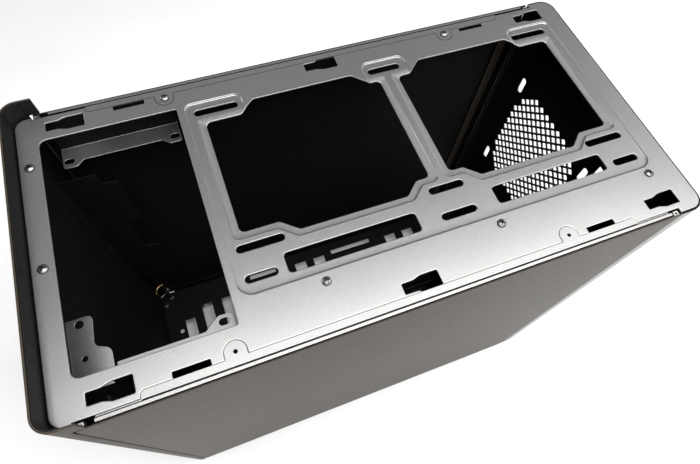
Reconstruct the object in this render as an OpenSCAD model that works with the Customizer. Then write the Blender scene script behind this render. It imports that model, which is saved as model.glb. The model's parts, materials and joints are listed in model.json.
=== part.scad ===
// Compact desktop computer tower, its top cover taken off.
// Z is up, the front faces -Y and the motherboard side is +X.

/* [Case] */
// Width over both side panels
case_w = 203; // [200:0.5:206]
// Depth over the front skin and the rear panel
case_d = 406.7; // [404:0.1:410]
// Height from the bottom edge of the side panels to the top panel
body_h = 342; // [340:1:350]
// Height of the feet under the side panels
foot_h = 18; // [16:0.5:22]
// How far the front skin stands above the top panel
front_rise = 13.4; // [10:0.1:16]
// Corner radius of the case seen from above
corner_r = 10; // [8:0.5:11]

/* [Sheet metal] */
// Thickness of the chassis sheet
sheet = 1.2; // [1.1:0.1:1.3]
// Thickness of a side panel
skin = 0.8; // [0.7:0.1:0.9]
// Depth of one pressed step in the top panel
press = 1.0; // [0.8:0.1:1.0]

/* [Fan mounts] */
// Spacing of a 120 mm fan's holes
fan_hole = 105; // [104:0.5:105.5]
// Width of a fan screw slot in the top panel
slot_w = 5; // [4.4:0.1:5.2]
// Pitch of the grille holes
grille_pitch = 9.29; // [9.2:0.01:9.4]
// Side of one square grille hole
grille_hole = 4.5; // [4:0.1:4.8]

/* [Controls] */
// Travel of the power and reset buttons
button_travel = 1.6; // [1:0.1:1.8]

/* [Hidden] */
$fn = 48;
top_z = foot_h + body_h;
half_w = case_w / 2;
front_y = -case_d / 2;
rear_y = case_d / 2;
steel = [0.52, 0.52, 0.50];
dark = [0.10, 0.10, 0.105];
panel_grey = [0.42, 0.40, 0.37];
black = [0.04, 0.04, 0.042];
zinc = [0.78, 0.78, 0.76];
rubber = [0.06, 0.06, 0.06];
brass = [0.72, 0.55, 0.25];

// Front skin and liner
skin_t = 1.2;
liner_t = 0.9;
wrap_low_y = front_y + 12.2;
wrap_top_y = front_y + 19.1;
wall_y = front_y + 3;
wall_half = 92.5;
rear_wrap_y = rear_y - 19.4;

// Side rails
strip_x = 92.8;
groove_x = 97.4;
band_x0 = 98.4;
band_x1 = 100.1;
slot_front = -157.6;
slot_rear = 150.7;
ear_ys = [-107.5, 102.5];
ear_x = 90;
ear_r = 6;

// Top panel openings
pan_x0 = -79.8;
pan_x1 = 62.5;
pan_y0 = -97.3;
pan_y1 = 187.8;
row_s = -71.55;
row_n = row_s + fan_hole;
row_m = row_s + 124.5;
mid_slot_y = 44.85;
mid_slot_len = 24.6;
outer_slot_dy = 122.25;
outer_slot_len = 29.5;
wide_slot_dy = 127.35;
wide_slot_len = 19.5;
bay = [[-78.3, -187.9], [76.4, -102.1]];
fan_x = [-71.85, -62.7, 22.5, 31.3];
fan_1 = [-86.8, -62.7, -52.1, 19.2, 28.7, 38.5];
fan_2 = [52.6, 62.8, 72.4, 144.7, 154.7, 177.5];
rim = 4.5;
clip_ys = [-170.95, 2.35, 175.45];
clip_x = 88.15;
notch_ys = [-130.7, 125.8];
notch_x = 90.9;
notch_w = 3.4;
plate_screws = [[69, -49], [69, 65.8], [68, 180.3], [-59.4, -194.5], [10.5, -194.2]];
pan_head_r = 2.85;
shank_r = 1.5;
screw_hole_r = 1.7;

// Inside
floor_z0 = foot_h + 1;
floor_z = floor_z0 + sheet;
tray_x = 80;
tray_front_y = -150;
board_y1 = 193;
board_z1 = top_z - 61.2;
board_sy = 157.48;
board_sz = 154.94;
grille_x = -29.65;
grille_z = top_z - 131.7;
io_x = 29.8;
io_w = 44.45;
io_h = 158.75;
io_z = board_z1 + 4.7 - io_h;
slot_pitch = 20.32;
slot_zs = [io_z - 7.7, io_z - 7.7 - slot_pitch];
psu_x = 3;
psu_z = 65;
psu_half_h = 43;
psu_open = [[-55, -36], [59, 36]];
tray_zs = [80, 190];
pin_ys = [-118, -32];
pin_dz = 40;

// Front controls, one under the other at the right edge
ctl_x = 85;
power_r = 4.9;
reset_r = 2.3;
led_r = 1.5;
power_z = 306;
reset_z = 288;
led_z = 277;
usb_zs = [258, 236];
audio_zs = [216, 204];
board_back_y = -184.4;
board_t = 1.6;

// Lead loop in the front corner: where its two legs stand, and its height
lead_a = [-84, -195];
lead_b = [-92, -187];
lead_z = 66;
lead_r = 1.3;

// Feet and bottom filter
foot_x = 82;
foot_y = 165;
foot_r = 14;
pad_h = 3;
filter_x = 62;
filter_y = [40, 196];
filter_z = floor_z0 - 5.6;
window_ys = [48, 121];
window_len = 67;

// ---- helpers ----

function unit(v) = v / norm(v);
function at(p, i) = p[(i + len(p)) % len(p)];

// The points of an outline with every corner rounded to its radius
function rounded(p, r, n = 5) = [
    for (i = [0 : len(p) - 1])
        let (a = unit(at(p, i - 1) - p[i]), b = unit(at(p, i + 1) - p[i]),
            rad = is_list(r) ? r[i] : r,
            half = acos(a * b) / 2,
            c = p[i] + unit(a + b) * rad / sin(half),
            t0 = p[i] + a * rad / tan(half) - c,
            t1 = p[i] + b * rad / tan(half) - c,
            a0 = atan2(t0[1], t0[0]),
            turn = (atan2(t1[1], t1[0]) - a0 + 540) % 360 - 180)
            for (k = [0 : n])
                c + rad * [cos(a0 + turn * k / n), sin(a0 + turn * k / n)]
];

// A rectangle between two corners with rounded corners
module round_rect(a, b, r) {
    polygon(rounded([a, [b[0], a[1]], b, [a[0], b[1]]], r));
}

// A straight slot of the given length along Y
module slot_y(x, y, len_y, w) {
    translate([x - w / 2, y - (len_y - w) / 2]) square([w, len_y - w]);
    for (s = [-1, 1])
        translate([x, y + s * (len_y - w) / 2]) circle(d = w);
}

// A box between two corners
module box(a, b) {
    translate(a) cube(b - a);
}

// Both sides of the case
module both_sides() {
    children();
    mirror([1, 0, 0]) children();
}

// A profile drawn in X and Z, standing from y0 to y1
module upright(y0, y1) {
    translate([0, y1, 0]) rotate([90, 0, 0]) linear_extrude(y1 - y0) children();
}

// A profile drawn in Y and Z, standing from x0 to x1
module sideways(x0, x1) {
    translate([x0, 0, 0]) rotate([90, 0, 90]) linear_extrude(x1 - x0) children();
}

// ---- top panel ----

module fan_outline(ys, grow = 0, x_min = -200) {
    x = [max(fan_x[0], x_min), max(fan_x[1] - grow, x_min), fan_x[2] + grow, fan_x[3] + grow];
    y = [ys[0] - grow, ys[1] - grow / 2, ys[2] - grow / 2,
        ys[3] + grow / 2, ys[4] + grow / 2, ys[5] + grow];
    right = [[x[2], y[0]], [x[2], y[1]], [x[3], y[2]], [x[3], y[3]], [x[2], y[4]], [x[2], y[5]]];
    left = x_min > fan_x[1] ? [[x[1], y[5]], [x[1], y[0]]]
        : [[x[1], y[5]], [x[1], y[4]], [x[0], y[3]], [x[0], y[2]], [x[1], y[1]], [x[1], y[0]]];
    polygon(rounded(concat(right, left), grow > 0 ? 4 : 3.6));
}

module pan_outline(grow = 0) {
    in_x = -60;
    bumps = [[150.7, 187.8], [29.7, 62.3], [-97.3, -59.2]];
    far = [for (b = bumps) each
        [[in_x, b[1]], [pan_x0 - grow, b[1] + grow], [pan_x0 - grow, b[0] - grow], [in_x, b[0]]]];
    body = [[pan_x1 + grow, pan_y0 - grow], [pan_x1 + grow, pan_y1 + grow]];
    middle = [for (i = [1 : len(far) - 2]) far[i]];
    radii = [9, 9, for (i = [1 : len(far) - 2]) (i % 4 == 1 || i % 4 == 2) ? 5 : 1];
    polygon(rounded(concat(body, middle), radii));
}

module plate_outline() {
    y = [wall_y, -190.8, slot_front, slot_rear, rear_wrap_y - 0.75, rear_y - 1.4];
    x = [98, 96.8, strip_x, 100.1];
    side = [[x[0], y[0]], [x[0], y[1]], [x[1], y[1]], [x[1], y[2]], [x[2], y[2]], [x[2], y[3]],
        [x[1], y[3]], [x[1], y[4]], [x[3], y[4]], [x[3], y[5]]];
    radii = [7.5, 0.3, 0.3, 0.4, 3, 3, 0.4, 0.4, 0.4, 8.6];
    n = len(side);
    polygon(rounded(
        concat(side, [for (i = [n - 1 : -1 : 0]) [-side[i][0], side[i][1]]]),
        concat(radii, [for (i = [n - 1 : -1 : 0]) radii[i]])));
}

// Bottle-shaped catch hole of the top cover, its narrow end to the front
module catch_hole(x, y) {
    half = 23.5 / 2;
    polygon([[x - 3.4, y - half], [x + 3.4, y - half], [x + 3.4, y - half + 7.5],
        [x + 5, y - half + 12.5], [x + 5, y + half], [x - 5, y + half],
        [x - 5, y - half + 12.5], [x - 3.4, y - half + 7.5]]);
}

// Round tab of a side rail, its straight end towards the rail
module ear_shape(grow = 0) {
    circle(ear_r + grow);
    translate([0, -ear_r - grow]) square([4, 2 * (ear_r + grow)]);
}

// The pressed top panel: the pan and the rims of the fan openings are each one step lower
module top_panel() {
    color(steel) {
        translate([0, 0, top_z - sheet]) linear_extrude(sheet) difference() {
            plate_outline();
            pan_outline();
            fan_outline(fan_1);
            fan_outline(fan_2);
            round_rect(bay[0], bay[1], [4.5, 4.5, 1, 1]);
            for (y = clip_ys, s = [-1, 1]) catch_hole(s * clip_x, y);
            for (y = notch_ys, s = [-1, 1])
                translate([s * notch_x - notch_w / 2, y - 10]) square([notch_w, 20]);
            for (y = ear_ys) {
                translate([ear_x, y]) ear_shape(0.3);
                translate([-ear_x, y]) mirror([1, 0]) ear_shape(0.3);
            }
            for (p = plate_screws) translate(p) circle(screw_hole_r);
        }
        translate([0, 0, top_z - press - sheet]) linear_extrude(sheet) difference() {
            pan_outline(1);
            fan_outline(fan_1, rim, -58);
            fan_outline(fan_2, rim, -58);
            fan_outline(fan_1);
            fan_outline(fan_2);
            pan_slots();
        }
        translate([0, 0, top_z - 2 * press - sheet]) linear_extrude(sheet) {
            for (f = [fan_1, fan_2]) difference() {
                fan_outline(f, rim + 1, -59);
                fan_outline(f);
            }
        }
    }
}

// Fan and radiator slots and the two cable slots of the pan
module pan_slots() {
    for (x = [row_s, row_n], s = [-1, 1])
        slot_y(x, mid_slot_y + s * outer_slot_dy, outer_slot_len, slot_w);
    for (x = [row_s, row_n, row_m])
        slot_y(x, mid_slot_y, mid_slot_len, slot_w);
    for (s = [-1, 1])
        slot_y(row_m, mid_slot_y + s * wide_slot_dy, wide_slot_len, slot_w);
    round_rect([43.8, -67.2], [57, 17.6], 2.5);
    round_rect([42.8, 72.4], [55.7, 156.2], 2.5);
}

// ---- side rails ----

// A rail beside the top panel: a strip with two ears, a groove and the raised edge outside it
module rail(right) {
    color(steel) difference() {
        union() {
            translate([0, 0, top_z - sheet]) linear_extrude(sheet) {
                round_rect([strip_x + 0.25, slot_front + 0.3], [groove_x, slot_rear - 0.3],
                    [2.8, 0.2, 0.2, 2.8]);
                for (y = ear_ys) translate([ear_x, y]) ear_shape();
            }
            box([groove_x - sheet, -180, top_z - 8], [groove_x, 176, top_z - sheet / 2]);
            box([groove_x - sheet, -180, top_z - 9], [band_x1, 176, top_z - 8]);
            box([band_x0, -180, top_z - 30], [band_x1, 176, top_z - 0.2]);
        }
        for (y = ear_ys)
            translate([ear_x, y, top_z - 3]) cylinder(r = right ? 1.25 : screw_hole_r, h = 4);
        box([90, slot_rear - 0.3, top_z - 2], [groove_x + 0.01, 180, top_z + 1]);
        box([90, -185, top_z - 2], [groove_x + 0.01, slot_front + 0.3, top_z + 1]);
    }
}

module right_rail() {
    rail(true);
}

module left_rail() {
    mirror([1, 0, 0]) rail(false);
}

// ---- chassis walls ----

// A U in plan: a wall across the case with wraps along both sides
module wrap_plan(outer, t, y_wall, y_end, r) {
    s = sign(y_end - y_wall);
    difference() {
        polygon(rounded([[-outer, y_wall], [outer, y_wall], [outer, y_end], [-outer, y_end]],
            [r, r, 0.05, 0.05]));
        polygon(rounded([[-outer + t, y_wall + s * t], [outer - t, y_wall + s * t],
            [outer - t, y_end + s], [-outer + t, y_end + s]], [r - t, r - t, 0.05, 0.05]));
    }
}

module grille_squares() {
    n_x = 5;
    n_z = 6;
    for (i = [-2 * n_x : 2 * n_x], j = [-2 * n_z : 2 * n_z])
        let (x = i * grille_pitch / 2, z = j * grille_pitch / 2)
            if ((i + j) % 2 == 0 && !(abs(x) > 42 && abs(z) > 30) && !(abs(x) > 34 && abs(z) > 50))
                translate([x, z]) rotate(45) square(grille_hole, center = true);
}

module rear_cutouts() {
    translate([grille_x, grille_z]) {
        grille_squares();
        for (sx = [-1, 1], sz = [-1, 1])
            slot_y(sx * fan_hole / 2, sz * fan_hole / 2, 16.5, 5.5);
    }
    translate([io_x, io_z]) square([io_w, io_h]);
    for (z = slot_zs) {
        translate([-38, z - 6.4]) square([102, 12.8]);
        translate([-45, z]) circle(screw_hole_r);
    }
    translate([psu_x, psu_z]) round_rect(psu_open[0], psu_open[1], 6);
    for (p = [[-69, -32], [69, -32], [-69, 32], [45, 42]])
        translate([psu_x + p[0], psu_z + p[1]]) circle(1.9);
}

module rear_panel() {
    color(steel) difference() {
        translate([0, 0, foot_h]) linear_extrude(body_h - 0.4)
            wrap_plan(half_w, sheet, rear_y, rear_wrap_y, corner_r);
        upright(rear_y - 3, rear_y + 1) rear_cutouts();
    }
}

// The inner wall behind the front skin, with holes for the controls
module front_panel() {
    color(dark) difference() {
        box([-wall_half, wall_y, floor_z], [wall_half, wall_y + sheet, top_z - sheet]);
        upright(wall_y - 1, wall_y + 3) {
            translate([ctl_x, power_z]) circle(power_r + 1.9);
            translate([ctl_x, reset_z]) circle(reset_r + 1.6);
            translate([ctl_x, led_z]) circle(2.4);
            for (z = usb_zs) translate([ctl_x - 3.6, z - 7.3]) square([7.2, 14.6]);
            for (z = audio_zs) translate([ctl_x, z]) circle(3.7);
        }
    }
}

// Floor windows and vents
module floor_cutouts() {
    for (y = [-21.5, 4, 106.5, 132]) translate([-85, y - 7.5]) square([15, 15]);
    translate([-88.5, 22]) square([5.5, 55]);
    translate([-88.5, -88.5]) square([5.5, 34]);
    round_rect([-58, -178], [-20, -166], 0.5);
    round_rect([-71, -155], [-20, -142], 0.5);
    round_rect([-71, -130], [-20, -118], 0.5);
    for (i = [0 : 11]) slot_vent(-52 + i * 104 / 11);
    translate([-46, -184]) circle(2.6);
    for (p = [lead_a, lead_b]) translate(p) circle(1.9);
}

module floor_outline() {
    y0 = wall_y - 0.4;
    y1 = rear_y - sheet - 0.2;
    polygon(rounded([[-99, y0], [99, y0], [99, -182], [99.6, -182], [99.6, y1], [-99.6, y1],
        [-99.6, -182], [-99, -182]], [8.4, 8.4, 0.1, 0.1, 8.6, 8.6, 0.1, 0.1]));
}

module slot_vent(x) {
    for (y = [82, 152]) slot_y(x, y, 58, 4.6);
}

module bottom_panel() {
    color(dark) difference() {
        union() {
            translate([0, 0, floor_z0]) linear_extrude(sheet)
                difference() {
                    floor_outline();
                    floor_cutouts();
                }
            both_sides() box([98.4, -182, floor_z0], [99.6, 176, floor_z + 12]);
        }
    }
}

module tray_cutouts() {
    round_rect([70, board_z1 - 101], [170, board_z1 - 4], 8);
    round_rect([-2, 262], [22, 334], 6);
    round_rect([-2, 172], [22, 244], 6);
    round_rect([-120, 40], [-60, 70], 6);
    round_rect([40, 30], [110, 56], 6);
}

module motherboard_tray() {
    color(dark) union() {
        sideways(tray_x, tray_x + sheet) difference() {
            translate([tray_front_y, floor_z]) square([rear_y - 1.4 - tray_front_y, 331]);
            tray_cutouts();
        }
        box([tray_x - 10, tray_front_y, floor_z + 10], [tray_x + 0.1, tray_front_y + sheet, top_z - 34]);
    }
}

// ---- side panels ----

module side_panel() {
    y0 = wrap_low_y + 0.4;
    y1 = rear_wrap_y - 0.4;
    z1 = top_z - 0.6;
    color(panel_grey) {
        box([half_w - skin, y0, foot_h], [half_w, y1, z1]);
        box([half_w - 8, y0, foot_h + 8], [half_w - skin / 2, y0 + 0.8, top_z - 14]);
        box([half_w - 8, y1 - 0.8, foot_h + 8], [half_w - skin / 2, y1, top_z - 14]);
    }
}

module right_side_panel() {
    side_panel();
}

module left_side_panel() {
    mirror([1, 0, 0]) side_panel();
}

module panel_clips() {
    color(zinc) for (y = [-187.5, 180.5], z = [top_z - 6, foot_h + 10])
        difference() {
            box([97.6, y - 2, z], [half_w - skin, y + 2, z + 4.4]);
            box([98.8, y - 1, z + 1], [99.8, y + 1, z + 5]);
        }
}

module right_panel_clips() {
    panel_clips();
}

module left_panel_clips() {
    mirror([1, 0, 0]) panel_clips();
}

// ---- front skin ----

module front_holes(grow = 0) {
    translate([ctl_x, power_z]) circle(power_r + 0.3 + grow);
    translate([ctl_x, reset_z]) circle(reset_r + 0.3 + grow);
    translate([ctl_x, led_z]) circle(led_r + 0.3 + grow);
    for (z = usb_zs) translate([ctl_x - 3.2 - grow, z - 6.9 - grow])
        square([6.4 + 2 * grow, 13.8 + 2 * grow]);
    for (z = audio_zs) translate([ctl_x, z]) circle(3.4 + grow);
}

// The outer front: it wraps further back above the top panel than beside it
module front_skin() {
    color(panel_grey) difference() {
        union() {
            translate([0, 0, foot_h]) linear_extrude(body_h + front_rise)
                wrap_plan(half_w, skin_t, front_y, wrap_low_y, corner_r);
            translate([0, 0, top_z + 0.2]) linear_extrude(front_rise - 0.2)
                wrap_plan(half_w, skin_t, front_y, wrap_top_y, corner_r);
        }
        upright(front_y - 1, front_y + 2) front_holes();
    }
}

// Black moulded lining of the front skin
module front_liner() {
    outer = half_w - skin_t;
    y = front_y + skin_t;
    color(black) difference() {
        translate([0, 0, foot_h + 1]) linear_extrude(body_h + front_rise - 1.6)
            wrap_plan(outer, liner_t, y, wrap_low_y - 1, corner_r - skin_t);
        upright(y - 1, y + 2) front_holes(0.3);
    }
}

// Zinc spring clips that hold the front skin to the chassis
module bezel_clips() {
    color(zinc) for (s = [-1, 1], z = [60, 170, 345])
        box([s * 88 - 1.5, wall_y - 0.9, z - 4], [s * 88 + 1.5, wall_y - 0.1, z + 4]);
}

// ---- inner posts and brackets ----

module front_left_post() {
    edges = [[top_z - 52, -172], [top_z - 64.4, -172], [top_z - 66, -161], [top_z - 124.6, -161],
        [top_z - 126, -172], [top_z - 176.3, -172], [top_z - 178, -161], [top_z - 243, -161]];
    y0 = wall_y + sheet;
    color(dark) {
        sideways(-83.6, -82.6)
            polygon(concat([[y0, top_z - 52]], [for (e = edges) [e[1], e[0]]],
                [[y0, top_z - 243]]));
        box([-83.6, y0, top_z - 243], [-72, y0 + 1, top_z - 52]);
    }
}

module rear_left_post() {
    color(dark) {
        box([-99.9, 168, floor_z + 13], [-98.9, 181.6, top_z - 32]);
        box([-98.95, 176.4, floor_z], [-91, 177.4, top_z - 32]);
    }
}

// A bracket under the edge of the front bay: a web from the top panel and a flange below it
module left_bay_bracket() {
    z = top_z - 32;
    color(steel) difference() {
        union() {
            box([-95.2, -185.8, z], [-94.2, -105.2, top_z - sheet]);
            translate([0, 0, z]) linear_extrude(1) polygon(rounded([[-95.2, -185.8],
                [-77.3, -185.8], [-77.3, -177], [-81.7, -172], [-81.7, -119], [-77.3, -114],
                [-77.3, -105.2], [-95.2, -105.2]], [0.3, 2, 2, 2, 2, 2, 2, 0.3]));
        }
        translate([0, 0, z - 1]) linear_extrude(4)
            for (y = [-181.4, -109.6]) slot_y(-82.7, y, 6.4, 4);
    }
}

module right_bay_bracket() {
    z = top_z - 32;
    color(steel) difference() {
        union() {
            box([77.6, -174, z], [78.6, -105.2, top_z - sheet]);
            translate([0, 0, z]) linear_extrude(1) polygon(rounded([[64.6, -174], [78.6, -174],
                [78.6, -105.2], [57.4, -105.2], [57.4, -114], [64.6, -123]],
                [0.5, 0.3, 0.3, 2, 3, 3]));
        }
        translate([0, 0, z - 1]) linear_extrude(4) slot_y(62, -111.2, 6.4, 4.4);
    }
}

module front_bay_plate() {
    z = top_z - 32;
    y0 = wall_y + sheet;
    color(steel) difference() {
        union() {
            box([31.6, y0, z], [76, y0 + 1, z + 10]);
            translate([0, 0, z]) linear_extrude(1) polygon(rounded([[31.6, y0], [76, y0],
                [76, -175.6], [55, -175.6], [51, -184.6], [36, -183.4], [31.6, -183.4]],
                [0.3, 0.3, 1, 5, 4, 4, 3]));
        }
        translate([0, 0, z - 1]) linear_extrude(4) {
            translate([35.6, -191]) circle(2.5);
            translate([57, -190.6]) circle(1.7);
        }
    }
}

// ---- fasteners and small parts ----

// A pan-head screw standing on z with its shank below
module pan_screw(len_shank) {
    difference() {
        rotate_extrude() polygon([[0, -len_shank], [shank_r, -len_shank], [shank_r, 0],
            [pan_head_r, 0], [pan_head_r, 0.9], [2.2, 1.6], [0, 1.9]]);
        for (a = [0, 90]) rotate(a) box([-1.6, -0.4, 0.7], [1.6, 0.4, 3]);
    }
}

module top_screws() {
    color(zinc) {
        for (p = plate_screws) translate([p[0], p[1], top_z]) pan_screw(5);
        for (y = ear_ys) translate([-ear_x, y, top_z]) pan_screw(5);
    }
}

module slot_screws() {
    color(zinc) for (z = slot_zs)
        translate([-45, rear_y - sheet - 1.1, z]) rotate([90, 0, 0]) pan_screw(2.2);
}

module slot_cover(z) {
    y = rear_y - sheet - 0.1;
    color(steel) difference() {
        box([-50, y - 1, z - 7.4], [68, y, z + 7.4]);
        translate([-45, y + 1, z]) rotate([90, 0, 0]) cylinder(r = screw_hole_r, h = 4);
    }
}

module slot_cover_upper() {
    slot_cover(slot_zs[0]);
}

module slot_cover_lower() {
    slot_cover(slot_zs[1]);
}

module board_standoffs() {
    color(brass) for (y = [board_y1, board_y1 - board_sy], z = [board_z1, board_z1 - board_sz])
        translate([tray_x - 6.35, y, z]) rotate([0, 90, 0]) difference() {
            cylinder(r = 2.8, h = 6.35);
            translate([0, 0, -1]) cylinder(r = 1.5, h = 6);
        }
}

module grommet(z0, z1) {
    color(rubber) difference() {
        union() {
            sideways(tray_x - 1.1, tray_x + sheet + 1.1)
                round_rect([-1.8, z0 + 0.2], [21.8, z1 - 0.2], 5.8);
            for (x = [tray_x - 1.1, tray_x + sheet + 0.1])
                sideways(x, x + 1) round_rect([-4, z0 - 2], [24, z1 + 2], 7);
        }
        sideways(tray_x - 2, tray_x + 4) round_rect([2.5, z0 + 4.5], [17.5, z1 - 4.5], 4);
    }
}

module grommet_upper() {
    grommet(262, 334);
}

module grommet_lower() {
    grommet(172, 244);
}

// A keyhole slot: the pin rests at its top and comes out at its foot
module keyhole(y, z) {
    slot_y(y, z - 5, 13.6, 3.6);
    translate([y, z - 10]) circle(3.4);
}

module ssd_tray(z) {
    x = tray_x + sheet + 2;
    color(dark) difference() {
        union() {
            box([x, -130, z], [x + 1.2, -20, z + 78]);
            for (zz = [z, z + 76.8]) box([x, -130, zz], [x + 9, -20, zz + 1.2]);
        }
        sideways(x - 1, x + 3) {
            for (zz = [z + 12, z + 62]) round_rect([-112, zz], [-40, zz + 4], 1.9);
            for (y = pin_ys) keyhole(y, z + pin_dz);
        }
    }
}

module ssd_tray_upper() {
    ssd_tray(tray_zs[1]);
}

module ssd_tray_lower() {
    ssd_tray(tray_zs[0]);
}

module ssd_pins() {
    color(zinc) for (y = pin_ys, z = tray_zs)
        translate([tray_x + sheet, y, z + pin_dz]) rotate([0, 90, 0]) {
            cylinder(r = 1.5, h = 3.6);
            translate([0, 0, 3.5]) cylinder(r = 3, h = 1.4);
        }
}

// Soft pads on the floor under the power supply
module psu_pads() {
    color(rubber) for (y = [60, 180], x = [-62, 68])
        box([x - 4, y - 10, floor_z], [x + 4, y + 10, psu_z - psu_half_h]);
}

// ---- controls ----

// A button: head, collar behind the front liner, and stem
module button(z, r, collar, stem) {
    color(black) translate([ctl_x, front_y + 0.3, z]) rotate([-90, 0, 0]) {
        cylinder(r = r, h = 2.2);
        translate([0, 0, 2]) cylinder(r = r + collar, h = 0.8);
        cylinder(r = stem, h = 8);
    }
}

module power_button() {
    button(power_z, power_r, 1.4, 2);
}

module reset_button() {
    button(reset_z, reset_r, 1.1, 1.2);
}

module led_lens() {
    color([0.85, 0.9, 0.95]) translate([ctl_x, front_y + 0.2, led_z]) rotate([-90, 0, 0])
        cylinder(r = led_r, h = board_back_y - board_t - front_y - 0.2);
}

module control_board() {
    color([0.05, 0.16, 0.10])
        box([ctl_x - 6.4, board_back_y - board_t, 196], [ctl_x + 6.4, board_back_y, 318]);
}

module switch_body(z) {
    color(black) translate([ctl_x, 0, z])
        box([-3, front_y + 8.8 + button_travel, -3], [3, board_back_y - board_t, 3]);
}

module power_switch() {
    switch_body(power_z);
}

module reset_switch() {
    switch_body(reset_z);
}

module usb_socket(z) {
    y1 = board_back_y - board_t;
    color(zinc) difference() {
        box([ctl_x - 2.9, front_y + 0.4, z - 6.6], [ctl_x + 2.9, y1, z + 6.6]);
        box([ctl_x - 2.4, front_y - 1, z - 6.1], [ctl_x + 2.4, front_y + 12, z + 6.1]);
    }
    color(black) box([ctl_x - 1.9, front_y + 1.5, z - 5.4], [ctl_x - 0.3, front_y + 12.1, z + 5.4]);
}

module usb_socket_upper() {
    usb_socket(usb_zs[0]);
}

module usb_socket_lower() {
    usb_socket(usb_zs[1]);
}

module audio_sockets() {
    y1 = board_back_y - board_t;
    color(black) for (z = audio_zs) difference() {
        translate([ctl_x, front_y + 0.4, z]) rotate([-90, 0, 0])
            cylinder(r = 3.1, h = y1 - front_y - 0.4);
        translate([ctl_x, front_y, z]) rotate([-90, 0, 0]) cylinder(r = 1.8, h = 13);
    }
}

// A lead that loops up from below the floor, round the front corner and down again
module front_lead() {
    bend = lead_a[0] - lead_b[0];
    color(brass) {
        for (p = [lead_a, lead_b])
            translate([p[0], p[1], floor_z0]) cylinder(r = lead_r, h = lead_z - floor_z0);
        for (p = [lead_a, lead_b])
            translate([p[0], p[1], lead_z]) sphere(lead_r);
        translate([lead_a[0], lead_b[1], lead_z]) rotate([0, 0, 180])
            rotate_extrude(angle = 90) translate([bend, 0]) circle(lead_r);
    }
}

// ---- underside ----

module foot(x, y) {
    color(black) translate([x, y, pad_h]) rotate_extrude()
        polygon([[0, 0], [foot_r - 1.5, 0], [foot_r - 0.6, 0.6], [foot_r, 12], [foot_r, 16],
            [0, 16]]);
}

module pad(x, y) {
    color(rubber) translate([x, y, 0]) cylinder(r = foot_r - 3, h = pad_h);
}

module front_left_foot() {
    foot(-foot_x, -foot_y);
}

module front_right_foot() {
    foot(foot_x, -foot_y);
}

module rear_left_foot() {
    foot(-foot_x, foot_y);
}

module rear_right_foot() {
    foot(foot_x, foot_y);
}

module front_left_pad() {
    pad(-foot_x, -foot_y);
}

module front_right_pad() {
    pad(foot_x, -foot_y);
}

module rear_left_pad() {
    pad(-foot_x, foot_y);
}

module rear_right_pad() {
    pad(foot_x, foot_y);
}

module bottom_filter_frame() {
    color(black) difference() {
        box([-filter_x, filter_y[0], filter_z], [filter_x, filter_y[1], filter_z + 4]);
        for (y = window_ys)
            box([6 - filter_x, y, filter_z - 1], [filter_x - 6, y + window_len, filter_z + 5]);
    }
}

module bottom_filter_mesh() {
    z = filter_z + 1.6;
    color(dark) for (y = window_ys)
        box([6 - filter_x, y, z], [filter_x - 6, y + window_len, z + 0.8]);
}

module filter_rails() {
    color(black) both_sides() {
        box([filter_x + 0.5, filter_y[0], filter_z - 1.6], [filter_x + 2.5, 194, floor_z0]);
        box([filter_x - 2.5, filter_y[0], filter_z - 1.6], [filter_x + 2.5, 194, filter_z - 0.4]);
    }
}

top_panel();
left_rail();
right_rail();
rear_panel();
front_panel();
bottom_panel();
motherboard_tray();
left_side_panel();
right_side_panel();
left_panel_clips();
right_panel_clips();
front_skin();
front_liner();
front_left_post();
rear_left_post();
left_bay_bracket();
right_bay_bracket();
front_bay_plate();
top_screws();
bezel_clips();
power_button();
reset_button();
led_lens();
control_board();
power_switch();
reset_switch();
usb_socket_upper();
usb_socket_lower();
audio_sockets();
front_lead();
slot_cover_upper();
slot_cover_lower();
slot_screws();
board_standoffs();
grommet_upper();
grommet_lower();
ssd_tray_upper();
ssd_tray_lower();
ssd_pins();
psu_pads();
bottom_filter_frame();
bottom_filter_mesh();
filter_rails();
front_left_foot();
front_right_foot();
rear_left_foot();
rear_right_foot();
front_left_pad();
front_right_pad();
rear_left_pad();
rear_right_pad();
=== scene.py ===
import json
from math import acos, atan2, cos, degrees, pi, radians, sin, tan

import bmesh
import bpy
from mathutils import Matrix, Vector
from mathutils.geometry import delaunay_2d_cdt


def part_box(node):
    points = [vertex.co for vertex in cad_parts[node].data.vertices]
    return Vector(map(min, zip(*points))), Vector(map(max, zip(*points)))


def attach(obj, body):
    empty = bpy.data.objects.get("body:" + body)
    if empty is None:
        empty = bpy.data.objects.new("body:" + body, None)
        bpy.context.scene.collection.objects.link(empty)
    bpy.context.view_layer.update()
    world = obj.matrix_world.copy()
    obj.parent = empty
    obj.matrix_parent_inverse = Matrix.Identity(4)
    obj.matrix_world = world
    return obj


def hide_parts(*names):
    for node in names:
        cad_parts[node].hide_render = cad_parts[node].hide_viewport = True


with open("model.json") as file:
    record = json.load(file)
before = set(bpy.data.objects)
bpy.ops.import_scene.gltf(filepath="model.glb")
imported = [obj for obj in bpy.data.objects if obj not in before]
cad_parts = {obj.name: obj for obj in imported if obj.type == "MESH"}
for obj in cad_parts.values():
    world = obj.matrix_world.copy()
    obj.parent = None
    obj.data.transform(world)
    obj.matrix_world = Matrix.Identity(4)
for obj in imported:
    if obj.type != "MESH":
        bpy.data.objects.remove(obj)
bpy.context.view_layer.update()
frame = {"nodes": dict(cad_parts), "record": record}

# Lengths below are in millimetres; meshes are made in metres
MM = 0.001
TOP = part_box("top_panel")[1].z / MM
HALF_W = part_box("rear_panel")[1].x / MM
REAR_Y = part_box("rear_panel")[1].y / MM
REAR_WRAP_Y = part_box("rear_panel")[0].y / MM
FRONT_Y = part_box("front_skin")[0].y / MM
BODY_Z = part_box("rear_panel")[0].z / MM
BEZEL_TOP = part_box("front_skin")[1].z / MM
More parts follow.
